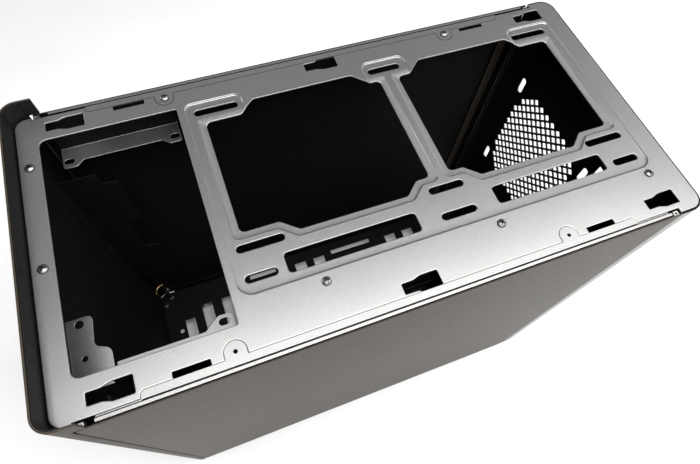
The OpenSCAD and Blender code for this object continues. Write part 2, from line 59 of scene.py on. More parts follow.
BODY_OF = {n: b for b, ns in frame["record"]["behaviour"]["bodies"].items() for n in ns}
SLOT_OF = {s["node"]: s["material_slot"] for s in frame["record"]["subparts"]}

SHEET = 1.2
LIP = 0.3

# ---------------------------------------------------------------- outlines


def rounded(points, radii, n=6):
    """The points of an outline with every corner rounded to its radius."""
    count = len(points)
    radii = radii if isinstance(radii, (list, tuple)) else [radii] * count
    out = []
    for i in range(count):
        p = Vector(points[i])
        a = (Vector(points[i - 1]) - p).normalized()
        b = (Vector(points[(i + 1) % count]) - p).normalized()
        half = acos(max(-1, min(1, a.dot(b)))) / 2
        centre = p + (a + b).normalized() * radii[i] / sin(half)
        t0 = p + a * radii[i] / tan(half) - centre
        t1 = p + b * radii[i] / tan(half) - centre
        a0 = atan2(t0.y, t0.x)
        turn = (degrees(atan2(t1.y, t1.x) - a0) + 540) % 360 - 180
        for k in range(n + 1):
            angle = a0 + radians(turn) * k / n
            out.append(centre + radii[i] * Vector((cos(angle), sin(angle))))
    return ccw(out)


def ccw(loop):
    """The loop as vectors, running anticlockwise."""
    loop = [Vector(p) for p in loop]
    area = sum(p.x * q.y - q.x * p.y for p, q in zip(loop, loop[1:] + loop[:1]))
    return loop if area > 0 else loop[::-1]


def offset(loop, d):
    """An anticlockwise loop moved outward by d, or by d(point) where d is a function."""
    out = []
    for i, p in enumerate(loop):
        a, b = p - loop[i - 1], loop[(i + 1) % len(loop)] - p
        a = a if a.length > 1e-6 else b
        b = b if b.length > 1e-6 else a
        na, nb = Vector((a.y, -a.x)).normalized(), Vector((b.y, -b.x)).normalized()
        n = (na + nb) / max(0.4, 1 + na.dot(nb))
        out.append(p + n * (d(p) if callable(d) else d))
    return out


def rect(x0, y0, x1, y1, r=0.3, n=3):
    return rounded([(x0, y0), (x1, y0), (x1, y1), (x0, y1)], r, n)


def circle(x, y, r, n=32):
    return [Vector((x + r * cos(2 * pi * k / n), y + r * sin(2 * pi * k / n))) for k in range(n)]


def slot_y(x, y, length, w, n=10):
    """A straight slot with round ends, running along the second axis."""
    h = (length - w) / 2
    top = [(x + w / 2 * cos(pi * k / n), y + h + w / 2 * sin(pi * k / n)) for k in range(n + 1)]
    low = [(x - w / 2 * cos(pi * k / n), y - h - w / 2 * sin(pi * k / n)) for k in range(n + 1)]
    return ccw(top + low)


def inside(p, loop):
    hit = False
    for a, b in zip(loop, loop[1:] + loop[:1]):
        if (a.y > p.y) != (b.y > p.y):
            if p.x < (b.x - a.x) * (p.y - a.y) / (b.y - a.y) + a.x:
                hit = not hit
    return hit


def signed_distance(p, loop):
    """Distance from a point to a loop, negative inside it."""
    best = 1e9
    for a, b in zip(loop, loop[1:] + loop[:1]):
        ab = b - a
        t = max(0, min(1, (p - a).dot(ab) / max(1e-12, ab.length_squared)))
        best = min(best, (p - a - ab * t).length)
    return -best if inside(p, loop) else best


def smooth(x, x0, x1):
    t = max(0.0, min(1.0, (x - x0) / (x1 - x0)))
    return t * t * (3 - 2 * t)


# ---------------------------------------------------------------- mesh building


def finish_mesh(name, verts, faces, smooth_angle=50, inner=()):
    """A mesh object from points in millimetres, smooth except at sharp edges.

    The faces whose numbers are in inner get the piece's second material.
    """
    mesh = bpy.data.meshes.new(name)
    mesh.from_pydata([Vector(v) * MM for v in verts], [], faces)
    for i in inner:
        mesh.polygons[i].material_index = 1
    mesh.validate()
    bm = bmesh.new()
    bm.from_mesh(mesh)
    for f in bm.faces:
        f.smooth = True
    for e in bm.edges:
        e.smooth = len(e.link_faces) == 2 and e.calc_face_angle(0) < radians(smooth_angle)
    bm.to_mesh(mesh)
    bm.free()
    obj = bpy.data.objects.new(name, mesh)
    bpy.context.collection.objects.link(obj)
    return obj


def formed_sheet(name, outline, holes, place, details=(), lines=(), height=None, t=SHEET, lip=LIP):
    """A sheet cut to an outline, with holes whose edges are rounded.

    place(u, v, w) puts a point of the sheet, w above its face, into the case. height(p)
    presses the sheet in or out, and details and lines are loops and lines kept as edges.
    """
    height = height or (lambda p: 0.0)
    outer = offset(outline, -lip)
    cuts = [offset(h, lip) for h in holes]
    loops = [outer, offset(outline, -lip - 0.4)]
    loops += cuts + [offset(h, lip + 0.35) for h in holes] + list(details)
    pts, edges = [], []
    for loop, closed in [(c, True) for c in loops] + [(c, False) for c in lines]:
        base = len(pts)
        pts += [Vector((p[0], p[1])) for p in loop]
        last = len(loop) if closed else len(loop) - 1
        edges += [(base + i, base + (i + 1) % len(loop)) for i in range(last)]
    flat, _, tris, *_ = delaunay_2d_cdt(pts, edges, [], 0, 1e-4)
    boxes = [(min(p.x for p in c), min(p.y for p in c), max(p.x for p in c), max(p.y for p in c))
             for c in cuts]
    kept = []
    for f in tris:
        c = sum((flat[i] for i in f), Vector((0, 0))) / 3
        if not inside(c, outer):
            continue
        if any(b[0] < c.x < b[2] and b[1] < c.y < b[3] and inside(c, cut)
               for b, cut in zip(boxes, cuts)):
            continue
        a, b = flat[f[1]] - flat[f[0]], flat[f[2]] - flat[f[0]]
        kept.append(tuple(f) if a.x * b.y - a.y * b.x > 0 else tuple(f)[::-1])
    used = sorted({i for f in kept for i in f})
    index = {old: new for new, old in enumerate(used)}
    flat = [flat[i] for i in used]
    kept = [tuple(index[i] for i in f) for f in kept]
    z = [height(p) for p in flat]
    n = len(flat)
    verts = [place(p.x, p.y, w) for p, w in zip(flat, z)]
    verts += [place(p.x, p.y, w - t) for p, w in zip(flat, z)]
    faces = list(kept) + [(c + n, b + n, a + n) for a, b, c in kept]
    directed = {(f[i], f[(i + 1) % 3]) for f in kept for i in range(3)}
    after = {a: b for a, b in directed if (b, a) not in directed}
    before = {b: a for a, b in after.items()}
    steps = 3
    rings = {}
    for i, j in after.items():
        a, b = flat[i] - flat[before[i]], flat[j] - flat[i]
        na, nb = Vector((a.y, -a.x)).normalized(), Vector((b.y, -b.x)).normalized()
        out = (na + nb) / max(0.4, 1 + na.dot(nb))
        ring = []
        for k in range(1, steps + 1):
            angle = radians(90) * k / steps
            q = flat[i] + out * lip * sin(angle)
            ring.append(len(verts))
            verts.append(place(q.x, q.y, z[i] - lip * (1 - cos(angle))))
        for k in range(steps, 0, -1):
            angle = radians(90) * k / steps
            q = flat[i] + out * lip * sin(angle)
            ring.append(len(verts))
            verts.append(place(q.x, q.y, z[i] - t + lip * (1 - cos(angle))))
        rings[i] = [i] + ring + [i + n]
    for i, j in after.items():
        for k in range(len(rings[i]) - 1):
            faces.append((rings[j][k], rings[i][k], rings[i][k + 1], rings[j][k + 1]))
    return finish_mesh(name, verts, faces, inner=range(len(kept), 2 * len(kept)))


def wrap_path(points, radii, n=8):
    """A path round a case seen from above: its length, and place(s, v, w) for a sheet on it.

    The path runs with its outer face on the right-hand side. Returns the lengths at which it
    bends too, so that a sheet can be cut there.
    """
    pieces = []
    for i, p in enumerate(points):
        p = Vector(p)
        if i in (0, len(points) - 1):
            pieces.append(p)
            continue
        a, b = (Vector(points[i - 1]) - p).normalized(), (Vector(points[i + 1]) - p).normalized()
        half = acos(a.dot(b)) / 2
        r = radii[i - 1]
        centre = p + (a + b).normalized() * r / sin(half)
        t0, t1 = p + a * r / tan(half) - centre, p + b * r / tan(half) - centre
        a0 = atan2(t0.y, t0.x)
        turn = (degrees(atan2(t1.y, t1.x) - a0) + 540) % 360 - 180
        for k in range(n + 1):
            angle = a0 + radians(turn) * k / n
            pieces.append(centre + r * Vector((cos(angle), sin(angle))))
    normals = []
    for i, p in enumerate(pieces):
        a = p - pieces[i - 1] if i else pieces[1] - p
        b = pieces[i + 1] - p if i < len(pieces) - 1 else a
        d = (a.normalized() + b.normalized()).normalized()
        normals.append(Vector((d.y, -d.x)))
    stops = [0.0]
    for p, q in zip(pieces, pieces[1:]):
        stops.append(stops[-1] + (q - p).length)

    def place(s, v, w):
        i = 0
        while i < len(stops) - 2 and s > stops[i + 1]:
            i += 1
        t = (s - stops[i]) / (stops[i + 1] - stops[i])
        p = pieces[i].lerp(pieces[i + 1], t)
        m = normals[i].lerp(normals[i + 1], max(0, min(1, t)))
        m = m / max(0.5, m.length)
        return (p.x + m.x * w, p.y + m.y * w, v)

    return stops, place


def lathe(name, profile, centre, axis="Z", n=40):
    """A turned shape from (radius, height) points, closed at both ends on its axis."""
    verts, faces = [], []
    for r, h in profile:
        for k in range(n):
            a = 2 * pi * k / n
            verts.append((r * cos(a), r * sin(a), h))
    rows = len(profile)
    for j in range(rows - 1):
        for k in range(n):
            a, b = j * n + k, j * n + (k + 1) % n
            faces.append((a, b, b + n, a + n))
    faces.append(tuple(range(n))[::-1])
    faces.append(tuple((rows - 1) * n + k for k in range(n)))
    turn = {"Z": Matrix.Identity(3), "-Z": Matrix.Rotation(pi, 3, "X"),
            "Y": Matrix.Rotation(-pi / 2, 3, "X"), "-Y": Matrix.Rotation(pi / 2, 3, "X"),
            "X": Matrix.Rotation(pi / 2, 3, "Y")}[axis]
    verts = [turn @ Vector(v) + Vector(centre) for v in verts]
    return finish_mesh(name, verts, faces, 35)


def softened(node, width=0.25, segments=2, name=None):
    """A copy of a CAD node with its faces merged and every sharp edge rounded over."""
    mesh = frame["nodes"][node].data.copy()
    mesh.materials.clear()
    bm = bmesh.new()
    bm.from_mesh(mesh)
    bmesh.ops.remove_doubles(bm, verts=bm.verts, dist=2e-6)
    bmesh.ops.dissolve_limit(bm, angle_limit=radians(0.5), verts=bm.verts, edges=bm.edges)
    for f in bm.faces:
        f.smooth = True
    bm.to_mesh(mesh)
    bm.free()
    obj = bpy.data.objects.new(name or node + "_formed", mesh)
    bpy.context.collection.objects.link(obj)
    bevel = obj.modifiers.new("edges", "BEVEL")
    bevel.width = width * MM
    bevel.segments = segments
    bevel.limit_method = "ANGLE"
    bevel.angle_limit = radians(40)
    bevel.use_clamp_overlap = True
    weighted = obj.modifiers.new("normals", "WEIGHTED_NORMAL")
    weighted.weight = 100
    graph = bpy.context.evaluated_depsgraph_get()
    obj.data = bpy.data.meshes.new_from_object(obj.evaluated_get(graph))
    obj.modifiers.clear()
    return obj


def lined(obj, test):
    """Gives the faces for which test(centre in mm, normal) is true the inner finish."""
    for face in obj.data.polygons:
        if test(face.center / MM, face.normal):
            face.material_index = 1
    return obj


def joined(name, objects):
    """Several meshes as one object."""
    bm = bmesh.new()
    for o in objects:
        bm.from_mesh(o.data)
        bpy.data.objects.remove(o)
    mesh = bpy.data.meshes.new(name)
    bm.to_mesh(mesh)
    bm.free()
    obj = bpy.data.objects.new(name, mesh)
    bpy.context.collection.objects.link(obj)
    return obj


# ---------------------------------------------------------------- materials


class Nodes:
    """A material's node tree, with short calls for the nodes used here."""

    def __init__(self, name):
        self.material = bpy.data.materials.new(name)
        self.material.use_nodes = True
        self.tree = self.material.node_tree
        self.shader = self.tree.nodes["Principled BSDF"]
        self.coords = self.tree.nodes.new("ShaderNodeTexCoord").outputs["Object"]

    def set(self, **values):
        for key, value in values.items():
            self.shader.inputs[key.replace("_", " ")].default_value = value

    def link(self, a, b):
        self.tree.links.new(a, b)

    def noise(self, size_mm, detail=2.0, stretch=(1, 1, 1), rough=0.5):
        """Noise whose features are about size_mm across."""
        mapping = self.tree.nodes.new("ShaderNodeMapping")
        mapping.inputs["Scale"].default_value = stretch
        self.link(self.coords, mapping.inputs["Vector"])
        noise = self.tree.nodes.new("ShaderNodeTexNoise")
        noise.inputs["Scale"].default_value = 0.5 / (size_mm * MM)
        noise.inputs["Detail"].default_value = detail
        noise.inputs["Roughness"].default_value = rough
        self.link(mapping.outputs["Vector"], noise.inputs["Vector"])
        return noise.outputs["Fac"]

    def ramp(self, fac, stops):
        ramp = self.tree.nodes.new("ShaderNodeValToRGB")
        ramp.color_ramp.elements[0].position, ramp.color_ramp.elements[0].color = stops[0]
        ramp.color_ramp.elements[1].position, ramp.color_ramp.elements[1].color = stops[-1]
        for position, colour in stops[1:-1]:
            ramp.color_ramp.elements.new(position).color = colour
        self.link(fac, ramp.inputs["Fac"])
        return ramp.outputs["Color"]

    def span(self, fac, low, high):
        """A value from low to high as fac goes from 0.3 to 0.7."""
        node = self.tree.nodes.new("ShaderNodeMapRange")
        node.inputs["From Min"].default_value = 0.3
        node.inputs["From Max"].default_value = 0.7
        node.inputs["To Min"].default_value = low
        node.inputs["To Max"].default_value = high
        self.link(fac, node.inputs["Value"])
        return node.outputs["Result"]

    def times(self, a, b):
        node = self.tree.nodes.new("ShaderNodeMix")
        node.data_type = "RGBA"
        node.blend_type = "MULTIPLY"
        node.inputs["Factor"].default_value = 1
        self.link(a, node.inputs["A"])
        self.link(b, node.inputs["B"])
        return node.outputs["Result"]

    def bump(self, fac, depth_mm, strength=1.0, under=None):
        node = self.tree.nodes.new("ShaderNodeBump")
        node.inputs["Strength"].default_value = strength
        node.inputs["Distance"].default_value = depth_mm * MM
        self.link(fac, node.inputs["Height"])
        if under:
            self.link(under, node.inputs["Normal"])
        return node.outputs["Normal"]


def grey(v, warm=0.0):
    return (v * (1 + warm), v, v * (1 - warm), 1)


def flecked_paint(name, value, warm, metallic, rough, fleck, grain, depth=0.012, specular=0.5):
    """Metallic paint with fine flecks, a faint orange peel and slow changes of tone."""
    m = Nodes(name)
    flecks = m.ramp(m.noise(grain, 3, rough=0.65), [
        (0.34, grey(value * (1 - fleck), warm)), (0.5, grey(value, warm)),
        (0.66, grey(value * (1 + fleck), warm))])
    tone = m.ramp(m.noise(45, 2), [(0.3, grey(0.93)), (0.7, grey(1.0))])
    m.link(m.times(flecks, tone), m.shader.inputs["Base Color"])
    m.link(m.span(m.noise(grain * 1.6, 2), rough - 0.06, rough + 0.06), m.shader.inputs["Roughness"])
    m.link(m.bump(m.noise(1.6, 2), depth, 0.2), m.shader.inputs["Normal"])
    m.set(Metallic=metallic, Specular_IOR_Level=specular)
    return m.material


def zinc_plate(name, value, rough):
    m = Nodes(name)
    m.link(m.ramp(m.noise(0.9, 4), [(0.3, (value, value * 0.99, value * 0.94, 1)),
                                    (0.7, (value * 0.82, value * 0.83, value * 0.84, 1))]),
           m.shader.inputs["Base Color"])
    m.link(m.span(m.noise(0.5, 3), rough, rough + 0.15), m.shader.inputs["Roughness"])
    m.link(m.bump(m.noise(0.35, 2), 0.01, 0.3), m.shader.inputs["Normal"])
    m.set(Metallic=1.0)
    return m.material


def moulded(name, value, rough, grain=0.7, depth=0.03, warm=0.0):
    """Moulded plastic or rubber with a spark-eroded grain."""
    m = Nodes(name)
    m.link(m.ramp(m.noise(grain * 3, 3), [(0.3, grey(value * 0.8, warm)),
                                          (0.7, grey(value * 1.25, warm))]),
           m.shader.inputs["Base Color"])
    m.link(m.span(m.noise(grain, 2), rough - 0.07, rough + 0.07), m.shader.inputs["Roughness"])
    m.link(m.bump(m.noise(grain, 2), depth, 0.5), m.shader.inputs["Normal"])
    m.set(Specular_IOR_Level=0.18)
    return m.material


def turned_brass(name):
    m = Nodes(name)
    m.link(m.ramp(m.noise(1.2, 3), [(0.3, (0.38, 0.25, 0.09, 1)), (0.7, (0.52, 0.38, 0.17, 1))]),
           m.shader.inputs["Base Color"])
    m.link(m.span(m.noise(0.5, 2), 0.22, 0.38), m.shader.inputs["Roughness"])
    m.set(Metallic=1.0)
    return m.material


def circuit_board(name):
    """Green lacquer over faint copper tracks."""
    m = Nodes(name)
    tracks = m.ramp(m.noise(2.4, 0, (1, 6, 1)), [
        (0.47, (0.004, 0.012, 0.008, 1)), (0.53, (0.008, 0.022, 0.014, 1))])
    m.link(tracks, m.shader.inputs["Base Color"])
    m.link(m.span(m.noise(1.0, 2), 0.25, 0.4), m.shader.inputs["Roughness"])
    return m.material


def light_guide(name):
    m = Nodes(name)
    m.link(m.ramp(m.noise(0.8, 2), [(0.3, (0.75, 0.82, 0.88, 1)), (0.7, (0.88, 0.93, 0.97, 1))]),
           m.shader.inputs["Base Color"])
    m.link(m.span(m.noise(0.4, 2), 0.12, 0.25), m.shader.inputs["Roughness"])
    return m.material


MATERIALS = {
    "chassis_paint": flecked_paint("chassis_paint", 0.36, 0.012, 0.88, 0.35, 0.14, 0.28),
    "rear_paint": flecked_paint("rear_paint", 0.22, 0.02, 0.85, 0.36, 0.18, 0.28),
    # interior_paint: the case's dark inner paint, made near-black as painted shade; it also goes on inner
    # faces, faces under the top plate and screw rims where shade falls
    "interior_paint": flecked_paint("interior_paint", 0.007, 0.0, 0.0, 0.6, 0.3, 0.5, 0.02, 0.08),
    "panel_paint": flecked_paint("panel_paint", 0.04, 0.22, 0.12, 0.46, 0.08, 0.30, 0.006, 0.1),
    "zinc": zinc_plate("zinc", 0.45, 0.28),
    "screw_zinc": zinc_plate("screw_zinc", 0.26, 0.30),
    "black_plastic": moulded("black_plastic", 0.006, 0.55),
    "button_plastic": moulded("button_plastic", 0.012, 0.3, 0.5, 0.01),
    "lens": light_guide("lens"),
    "board": circuit_board("board"),
    "brass": turned_brass("brass"),
    "rubber": moulded("rubber", 0.012, 0.72, 0.5, 0.03),
    "filter_mesh": moulded("filter_mesh", 0.02, 0.6, 0.3, 0.01),
}


def dress(obj, *nodes, inner=None):
    """Gives a piece its material and its body, and hides the CAD nodes it stands for.

    inner names the finish of the inner face, where it isn't that of the outer one.
    """
    slot = SLOT_OF[nodes[0]]
    indices = [f.material_index for f in obj.data.polygons]
    obj.data.materials.clear()
    obj.data.materials.append(MATERIALS[slot])
    obj.data.materials.append(MATERIALS[inner or slot])
    for face, index in zip(obj.data.polygons, indices):
        face.material_index = index
    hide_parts(*nodes)
    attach(obj, BODY_OF[nodes[0]])
    return obj


# ---------------------------------------------------------------- top panel

PRESS = 1.0
RIM_PRESS = 1.3
PAN = (-79.8, -97.3, 62.5, REAR_Y - 15.55)
RIM = 4.5
ROW_X = (-71.55, 33.45, 52.95)
MID_Y = 44.85
BAY = (-78.3, -187.9, 76.4, -102.1)
FAN_X = (-71.85, -62.7, 22.5, 31.3)
FANS = ((-86.8, -62.7, -52.1, 19.2, 28.7, 38.5), (52.6, 62.8, 72.4, 144.7, 154.7, 177.5))
BUMPS = ((150.7, PAN[3]), (29.7, 62.3), (PAN[1], -59.2))
CLIP_YS = (-170.95, 2.35, 175.45)
NOTCH_YS = (-130.7, 125.8)
EAR_YS = (-107.5, 102.5)
EAR_X = 90.0
PLATE_SCREWS = ((69, -49), (69, 65.8), (68, 180.3), (-59.4, -194.5), (10.5, -194.2))


def fan_outline(ys, grow=0.0):
    x = (FAN_X[0] - grow * 0.05, FAN_X[1] - grow, FAN_X[2] + grow, FAN_X[3] + grow)
    y = (ys[0] - grow, ys[1] - grow / 2, ys[2] - grow / 2,
         ys[3] + grow / 2, ys[4] + grow / 2, ys[5] + grow)
    right = [(x[2], y[0]), (x[2], y[1]), (x[3], y[2]), (x[3], y[3]), (x[2], y[4]), (x[2], y[5])]
    left = [(x[1], y[5]), (x[1], y[4]), (x[0], y[3]), (x[0], y[2]), (x[1], y[1]), (x[1], y[0])]
    return rounded(right + left, 4.0 if grow else 3.6)


def pan_outline():
    far = []
    for low, high in BUMPS:
        far += [(-60, high), (PAN[0], high), (PAN[0], low), (-60, low)]
    points = [(PAN[2], PAN[1]), (PAN[2], PAN[3])] + far[1:-1]
    radii = [9, 9] + [5 if i % 4 in (1, 2) else 1 for i in range(1, len(far) - 1)]
    return rounded(points, radii, 8)


def plate_outline():
    y = (FRONT_Y + 3, -190.8, -157.6, 150.7, REAR_WRAP_Y - 0.75, REAR_Y - 1.4)
    x = (98, 96.8, 92.8, 100.1)
    side = [(x[0], y[0]), (x[0], y[1]), (x[1], y[1]), (x[1], y[2]), (x[2], y[2]), (x[2], y[3]),
            (x[1], y[3]), (x[1], y[4]), (x[3], y[4]), (x[3], y[5])]
    radii = [7.5, 0.4, 0.4, 0.5, 3, 3, 0.5, 0.5, 0.5, 8.6]
    return rounded(side + [(-a, b) for a, b in side[::-1]], radii + radii[::-1])


def catch_hole(x, y):
    """Bottle-shaped hole for a catch of the top cover."""
    h = 23.5 / 2
    right = [(x + 3.4, y - h), (x + 3.4, y - h + 7.5), (x + 5, y - h + 12.5), (x + 5, y + h)]
    left = [(2 * x - a, b) for a, b in right[::-1]]
    return rounded(right + left, [0.6, 2, 2, 0.8, 0.8, 2, 2, 0.6], 3)


def ear(side, y, grow):
    """Round tab of a side rail, its straight end towards the rail."""
    r = 6 + grow
    arc = [(EAR_X + r * cos(a), y + r * sin(a)) for a in [radians(90 + 180 * k / 14) for k in range(15)]]
    points = arc + [(96, y - r), (96, y + r)]
    return ccw([(side * px, py) for px, py in points])


def top_holes():
    holes = [rect(*BAY, r=[4.5, 4.5, 1, 1])]
    holes += [fan_outline(f) for f in FANS]
    holes += [catch_hole(s * 88.15, y) for s in (-1, 1) for y in CLIP_YS]
    holes += [rect(s * 90.9 - 1.7, y - 10, s * 90.9 + 1.7, y + 10, 0.5) for s in (-1, 1) for y in NOTCH_YS]
    for x in ROW_X[:2]:
        holes += [slot_y(x, MID_Y + s * 122.25, 29.5, 5) for s in (-1, 1)]
    holes += [slot_y(x, MID_Y, 24.6, 5) for x in ROW_X]
    holes += [slot_y(ROW_X[2], MID_Y + s * 127.35, 19.5, 5) for s in (-1, 1)]
    holes += [rect(43.8, -67.2, 57, 17.6, 2.5, 5), rect(42.8, 72.4, 55.7, 156.2, 2.5, 5)]
    holes += [circle(x, y, 1.7, 20) for x, y in PLATE_SCREWS]
    return holes


def top_panel():
    pan = pan_outline()
    rims = [fan_outline(f, RIM) for f in FANS]
    ends = (-59.2, 29.7, 62.3, 150.7)

    def spread(p):
        """How far the pressed step widens as it dies out at the far side's openings."""
        near_end = 1 - smooth(min(abs(p.y - e) for e in ends), 3, 9)
        return 1 + 2.2 * near_end * smooth(p.x, -76, -69) * (1 - smooth(p.x, -50, -40))

    def height(p):
        z = -PRESS * step(signed_distance(p, pan) / spread(p))
        if z < -0.3:
            fade = smooth(p.x, -67, -58)
            for rim in rims:
                z -= RIM_PRESS * fade * step(signed_distance(p, rim))
        return z

    def step(d):
        """A pressed step, 0 outside it and 1 inside: steep at first, then easing out."""
        return 0.85 * (1 - smooth(d, -0.4, 0.4)) + 0.15 * (1 - smooth(d, -1.2, 0.1))

    steps = (-1.2, -0.8, -0.4, -0.2, 0, 0.2, 0.4, 0.8)
    details = [offset(pan, lambda p, d=d: d * spread(p)) for d in steps]
    details += [offset(r, d) for r in rims for d in steps]
    outline = plate_outline()
    ears = [ear(s, y, 0.3) for s in (-1, 1) for y in EAR_YS]
    return dress(formed_sheet("top_panel_pressed", outline, top_holes() + ears,
                              lambda u, v, w: (u, v, TOP + w), details, height=height),
                 "top_panel")


top_panel()

# ---------------------------------------------------------------- wrapped panels


def corner_path(y_end, y_wall, half, r):
    """U round one end of the case: up one side, across the wall and back down the other."""
    s = 1 if y_wall > y_end else -1
    points = [(s * half, y_end), (s * half, y_wall), (-s * half, y_wall), (-s * half, y_end)]
    return wrap_path(points, [r, r])


def vertical_lines(stops, low, high):
    return [[(s, low), (s, high)] for s in stops[1:-1]]


GRILLE = (-29.65, TOP - 131.7)
PITCH = 9.29
IO_X = (29.8, 74.25)
IO_Z = (TOP - 215.25, TOP - 56.5)
SLOT_ZS = [(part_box(n)[0].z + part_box(n)[1].z) / 2 / MM for n in ("slot_cover_upper", "slot_cover_lower")]
PSU_X, PSU_Z = 3, 65


def rear_panel():
    stops, place = corner_path(REAR_WRAP_Y, REAR_Y, HALF_W, 10)
    total = stops[-1]
    mid = total / 2

    def at(x, z):
        return (mid - x, z)

    holes = []
    for i in range(-10, 11):
        for j in range(-12, 13):
            x, z = i * PITCH / 2, j * PITCH / 2
            clipped = (abs(x) > 42 and abs(z) > 30) or (abs(x) > 34 and abs(z) > 50)
            if (i + j) % 2 == 0 and not clipped:
                cx, cz = at(GRILLE[0] + x, GRILLE[1] + z)
                h = 4.5 / 2 ** 0.5
                holes.append(rounded([(cx + h, cz), (cx, cz + h), (cx - h, cz), (cx, cz - h)], 0.5, 2))
    for sx in (-52.5, 52.5):
        for sz in (-52.5, 52.5):
            holes.append(slot_y(*at(GRILLE[0] + sx, GRILLE[1] + sz), 16.5, 5.5))
    holes.append(rect(mid - IO_X[1], IO_Z[0], mid - IO_X[0], IO_Z[1], 0.6))
    for z in SLOT_ZS:
        holes.append(rect(mid - 64, z - 6.4, mid + 38, z + 6.4, 0.6))
        holes.append(circle(mid + 45, z, 1.7, 20))
    holes.append(rect(mid - PSU_X - 59, PSU_Z - 36, mid - PSU_X + 55, PSU_Z + 36, 6, 6))
    for x, z in ((-69, -32), (69, -32), (-69, 32), (45, 42)):
        holes.append(circle(mid - PSU_X - x, PSU_Z + z, 1.9, 20))
    outline = rect(0, BODY_Z, total, TOP - 0.4, 0.4)
    panel = formed_sheet("rear_panel_formed", outline, holes, place,
                         lines=vertical_lines(stops, BODY_Z - 5, TOP + 5))
    # The top edge gets the near-black interior_paint as a painted shadow line below the top plate; the
    # inner face gets it as painted shade
    return dress(lined(panel, lambda c, n: c.z > TOP - 0.9), "rear_panel", inner="interior_paint")


CTL_X = 85.0
POWER_Z, RESET_Z, LED_Z = 306, 288, 277
USB_ZS, AUDIO_ZS = (258, 236), (216, 204)
WRAP_LOW_Y = FRONT_Y + 12.2
WRAP_TOP_Y = FRONT_Y + 19.1


def front_shell(name, node, half, wall, low_y, top_y, r, z0, z1, t, grow):
    """The bezel's U shell: it wraps further back above the top panel than beside it."""
    stops, place = corner_path(top_y, wall, half, r)
    total = stops[-1]
    mid = total / 2
    back = abs(low_y - top_y)
    step = TOP + 0.2
    if back:
        outline = rounded([(0, step), (back, step), (back, z0), (total - back, z0),
                           (total - back, step), (total, step), (total, z1), (0, z1)],
                          [0.5, 1.0, 1.0, 1.0, 1.0, 0.5, 0.8, 0.8], 3)
    else:
        outline = rect(0, z0, total, z1, 0.8)
    holes = [circle(mid + CTL_X, POWER_Z, 5.2 + grow, 40), circle(mid + CTL_X, RESET_Z, 2.6 + grow),
             circle(mid + CTL_X, LED_Z, 1.8 + grow, 24)]
    holes += [rect(mid + CTL_X - 3.2 - grow, z - 6.9 - grow, mid + CTL_X + 3.2 + grow, z + 6.9 + grow, 0.8)
              for z in USB_ZS]
    holes += [circle(mid + CTL_X, z, 3.4 + grow) for z in AUDIO_ZS]
    return dress(formed_sheet(name, outline, holes, place, t=t,
                              lines=vertical_lines(stops, z0 - 5, z1 + 5)), node,
                 inner="black_plastic")


rear_panel()
front_shell("front_skin_formed", "front_skin", HALF_W, FRONT_Y, WRAP_LOW_Y, WRAP_TOP_Y, 10,
            BODY_Z, BEZEL_TOP, 1.2, 0)
front_shell("front_liner_formed", "front_liner", HALF_W - 1.2, FRONT_Y + 1.2, WRAP_LOW_Y - 1,
            WRAP_LOW_Y - 1, 8.8, BODY_Z + 1, BEZEL_TOP - 0.6, 0.9, 0.3)


def side_panel(side, node):
    """A flat panel with a return flange bent in at its front and rear edges."""
    y0, y1 = WRAP_LOW_Y + 0.4, REAR_WRAP_Y - 0.4
    points = [(93.5, y0), (HALF_W, y0), (HALF_W, y1), (93.5, y1)]
    stops, place = wrap_path(points, [0.9, 0.9], 4)
    total = stops[-1]
    corners = [(0, BODY_Z + 8), (7, BODY_Z + 8), (9, BODY_Z), (total - 9, BODY_Z),
               (total - 7, BODY_Z + 8), (total, BODY_Z + 8), (total, TOP - 14),
               (total - 7, TOP - 14), (total - 9, TOP - 0.6), (9, TOP - 0.6),
               (7, TOP - 14), (0, TOP - 14)]
    outline = rounded(corners, [1, 0.4, 0.6, 0.6, 0.4, 1] * 2, 3)
    obj = formed_sheet(node + "_formed", outline, [], place, t=0.8, lip=0.25,
                       lines=vertical_lines(stops, BODY_Z - 5, TOP + 5))
    if side < 0:
        for v in obj.data.vertices:
            v.co.x = -v.co.x
        obj.data.flip_normals()
    # The inner face gets the near-black interior_paint: painted shade, as little light reaches inside the
    # case
    return dress(obj, node, inner="interior_paint")


side_panel(1, "right_side_panel")
side_panel(-1, "left_side_panel")

# ---------------------------------------------------------------- chassis parts

# Rail faces below the top plate get the near-black interior_paint: painted shade where little light reaches
for node_name in ("left_rail", "right_rail"):
    rail = lined(softened(node_name), lambda c, n: c.z < TOP - 2.5)
    dress(rail, node_name, inner="interior_paint")

# Bracket faces that don't face up, such as webs hanging below the top plate, get the near-black
# interior_paint: painted shade
for node_name in ("left_bay_bracket", "right_bay_bracket", "front_bay_plate"):
    bracket = lined(softened(node_name), lambda c, n: n.z < 0.3)
    dress(bracket, node_name, inner="interior_paint")

# The post's faces towards +X get panel_paint, lighter than its own finish: a painted highlight along its
# front edge
dress(lined(softened("rear_left_post"), lambda c, n: n.x > 0.5), "rear_left_post", inner="panel_paint")

for node_name in ("front_panel", "bottom_panel", "motherboard_tray", "front_left_post",
                  "slot_cover_upper", "slot_cover_lower", "ssd_tray_upper",
                  "ssd_tray_lower", "left_panel_clips", "right_panel_clips", "bezel_clips",
                  "bottom_filter_frame", "filter_rails", "control_board", "power_switch",
                  "reset_switch", "usb_socket_upper", "usb_socket_lower", "psu_pads",
                  "grommet_upper", "grommet_lower", "audio_sockets", "board_standoffs"):
    dress(softened(node_name), node_name)


# ---------------------------------------------------------------- fasteners


